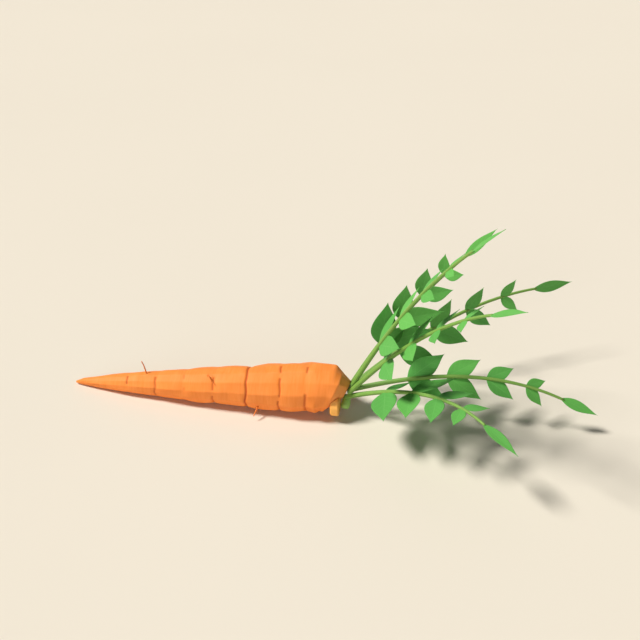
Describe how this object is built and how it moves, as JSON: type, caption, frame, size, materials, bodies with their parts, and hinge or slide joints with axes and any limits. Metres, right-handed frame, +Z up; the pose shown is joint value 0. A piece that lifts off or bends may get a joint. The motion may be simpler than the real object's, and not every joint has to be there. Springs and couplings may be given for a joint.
{
  "type": "carrot",
  "caption": "Whole fresh carrot lying on its side: a creased, tapering root with a corky crown, a leaf stub and a spray of leafy fronds.",
  "frame": {"origin": "on the flat that the root rests on, half way along the root, at the height of the surface it lies on", "axes": "+X along the root from its tip towards the crown and the leaves; +Z up; +Y to the left when looking along +X"},
  "size_m": [0.333, 0.1667, 0.1558],
  "materials": {
    "carrot_root_skin": "orange carrot skin, satin and slightly waxy, with darker growth creases",
    "carrot_crown_cork": "pale orange corky crown tissue, matte",
    "carrot_leaf": "fresh green leaf, satin",
    "carrot_stalk": "pale green cut stalk, satin"
  },
  "bodies": {
    "root": {"root": "carrot_root_skin", "crown_button": "carrot_crown_cork", "leaf_stub": "carrot_stalk", "frond_upright": "carrot_leaf", "frond_far": "carrot_leaf", "frond_back": "carrot_leaf", "frond_front_high": "carrot_leaf", "frond_long": "carrot_leaf", "frond_near": "carrot_leaf"}
  },
  "joints": []
}
